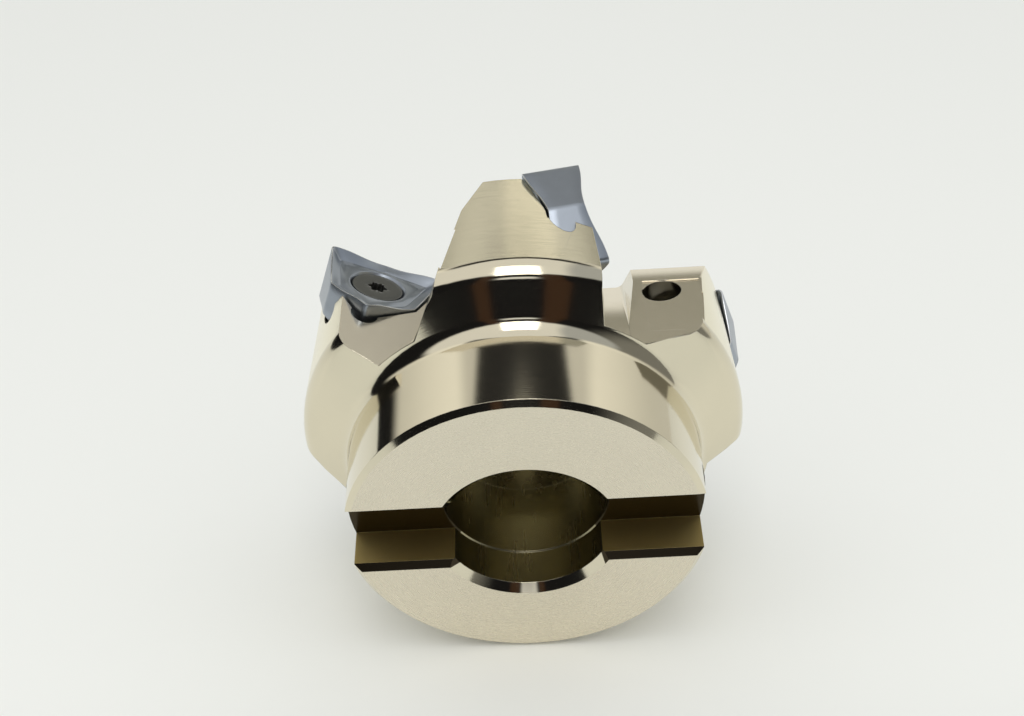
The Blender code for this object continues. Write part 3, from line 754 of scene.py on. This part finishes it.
CARBIDE_GRAIN = 9000.0           # grains a metre
CARBIDE_UNEVEN = 0.16
CARBIDE_RELIEF = 4e-6
CARBIDE_CLOUD = 700.0            # clouds a metre
CARBIDE_SHINE = 1.12             # the lighter clouds, as a share of the colour
CARBIDE_EDGE = 0.00004           # radius of the softened edges
COATING_COLOUR = (0.34, 0.375, 0.425)
COATING_ROUGHNESS = 0.34
# The honed land is tinted lighter than the coating: a painted highlight along the cutting edges.
HONED_HIGHLIGHT_COLOUR = (0.55, 0.57, 0.59)
HONED_ROUGHNESS = 0.22


def carbide(name, colour, roughness):
    """Grey coating over pressed or ground carbide, with a fine grain."""
    made, tree, shader = material(name, colour, roughness, 1.0)
    grain = noise_node(tree, straight_vector(tree, CARBIDE_GRAIN))
    uneven_roughness(tree, shader, grain, roughness, CARBIDE_UNEVEN)
    lighter = tuple(CARBIDE_SHINE * part for part in colour)
    clouded_colour(tree, shader, CARBIDE_CLOUD, colour, lighter)
    normal = bump(tree, grain, CARBIDE_RELIEF, soft_edge(tree, CARBIDE_EDGE))
    link(tree, normal, shader.inputs["Normal"])
    return made


coating = carbide("coated_carbide_dark", COATING_COLOUR, COATING_ROUGHNESS)
honed_land_highlight = carbide("honed_edge_painted_highlight", HONED_HIGHLIGHT_COLOUR, HONED_ROUGHNESS)
rings = insert_surface()
ring_count, ring_size = rings.shape[:2]
insert_faces = grid_faces(ring_count, ring_size, True)
face_row = np.arange(len(insert_faces)) // ring_size
mirrored_row = np.minimum(face_row, ring_count - 1 - face_row)
# Faces of the honed land, which get the lighter tint of painted highlight.
highlight_land_faces = (mirrored_row >= LAND_ROWS[0]) & (mirrored_row < LAND_ROWS[1])
for k in range(TEETH):
    tip = piece(f"tip_{k + 1}", seat(rings.reshape(-1, 3), k), insert_faces.tolist(),
                [coating, honed_land_highlight])
    tip.data.polygons.foreach_set("material_index", highlight_land_faces.astype(int))
    tip.data.shade_smooth()
    tip.data.set_sharp_from_angle(angle=SHARP_LIMIT)
    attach(tip, "root")
    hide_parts(f"insert_{k + 1}")


# Insert screws
# Countersunk steel screws with a six-lobe drive, blackened, that pull the inserts into their
# pockets. The thread starts under the cone and runs to the tip.
SCREW_TOP = 0.00235              # heights are over the middle of the insert
CONE_END = 0.00021
SCREW_TIP = -0.01095
HEAD_RADIUS = 0.00361
NECK_RADIUS = 0.0020
THREAD_RADIUS = 0.00225
THREAD_DEPTH = 0.00032
THREAD_PITCH = 0.0007
THREAD_START = CONE_END - 0.0014
THREAD_END = SCREW_TIP + 0.0006
TIP_RADIUS = 0.00165             # of the flat end under the thread
CAP_RADIUS = 0.0002              # of the last ring, which one face closes
LOBE_OUTER_RADIUS = 0.00140
LOBE_INNER_RADIUS = 0.00100
LOBE_DEPTH = 0.0014
LOBES = 6
SCREW_TURN = math.radians(37)    # each screw has stopped this much further round
SCREW_COLUMNS = 96
THREAD_ROWS = 112
BLACKENED = (0.165, 0.168, 0.160)
BLACKENED_ROUGHNESS = 0.36
BLACKENED_GRAIN = 7000.0         # grains a metre
BLACKENED_RELIEF = 5e-6
BLACKENED_EDGE = 0.00006         # radius of the softened edges


def screw_surface():
    """Rings of a screw from the middle of its drive recess, over the head, to its tip.

    A lobed ring has the radius inner + (outer - inner) * (1 + cos(6 angle)) / 2. The thread is
    a ridge that falls from crest to root and back once for each pitch, and that climbs by one
    pitch in a turn: its radius is crest - depth * |2 * (height / pitch - angle / turn) mod 1|.
    """
    angle = np.arange(SCREW_COLUMNS) / SCREW_COLUMNS * math.tau
    lobed = LOBE_INNER_RADIUS + (LOBE_OUTER_RADIUS - LOBE_INNER_RADIUS) * (
        1 + np.cos(LOBES * angle)) / 2
    even = np.ones(SCREW_COLUMNS)
    drive_floor = SCREW_TOP - LOBE_DEPTH
    # Radius and height of each ring: drive recess, top of the head, cone and neck.
    rows = [
        (0.05 * lobed, drive_floor - 0.00035),
        (0.60 * lobed, drive_floor),
        (0.93 * lobed, drive_floor + 0.0001),
        (0.97 * lobed, SCREW_TOP - 0.00012),
        (1.02 * lobed, SCREW_TOP - 0.00002),
        (1.06 * lobed, SCREW_TOP),
        (0.00195 * even, SCREW_TOP),
        (0.00280 * even, SCREW_TOP),
        ((HEAD_RADIUS - 0.00016) * even, SCREW_TOP),
        ((HEAD_RADIUS - 0.00004) * even, SCREW_TOP - 0.00004),
        (HEAD_RADIUS * even, SCREW_TOP - 0.00015),
        (0.00300 * even, 0.00142),
        ((THREAD_RADIUS + 0.0001) * even, CONE_END + 0.00015),
        (NECK_RADIUS * even, CONE_END - 0.0002),
        (NECK_RADIUS * even, CONE_END - 0.0012),
    ]
    for height in np.linspace(THREAD_START, THREAD_END, THREAD_ROWS):
        phase = (height / THREAD_PITCH - angle / math.tau) % 1.0
        rows.append((THREAD_RADIUS - THREAD_DEPTH * np.abs(2 * phase - 1), height))
    rows += [(TIP_RADIUS * even, SCREW_TIP), (CAP_RADIUS * even, SCREW_TIP)]
    radius = np.array([row[0] for row in rows])
    height = np.array([row[1] for row in rows])[:, None] + 0 * radius
    return np.stack([radius * np.cos(angle), radius * np.sin(angle), height], axis=2)


def screw_faces(rows, columns):
    """Quads between the rings of a screw, facing out, and a face over each end."""
    sides = grid_faces(rows, columns, False)[:, ::-1]
    first = np.arange(columns)
    last = (rows - 1) * columns + np.arange(columns)[::-1]
    return sides.tolist() + [first.tolist(), last.tolist()]


blackened, blackened_tree, blackened_shader = material(
    "blackened_steel_turned", BLACKENED, BLACKENED_ROUGHNESS, 1.0)
screw_grain = noise_node(blackened_tree, straight_vector(blackened_tree, BLACKENED_GRAIN))
screw_normal = bump(blackened_tree, screw_grain, BLACKENED_RELIEF,
                    soft_edge(blackened_tree, BLACKENED_EDGE))
link(blackened_tree, screw_normal, blackened_shader.inputs["Normal"])
screw_rings = screw_surface()
faces_of_screw = screw_faces(*screw_rings.shape[:2])
for k in range(TEETH):
    spin = turn_about("Z", k * SCREW_TURN)
    screw = piece(f"screw_{k + 1}", seat(screw_rings.reshape(-1, 3) @ spin.T, k),
                  faces_of_screw, [blackened])
    screw.data.shade_smooth()
    screw.data.set_sharp_from_angle(angle=SHARP_LIMIT)
    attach(screw, "root")
    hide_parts(f"insert_screw_{k + 1}")
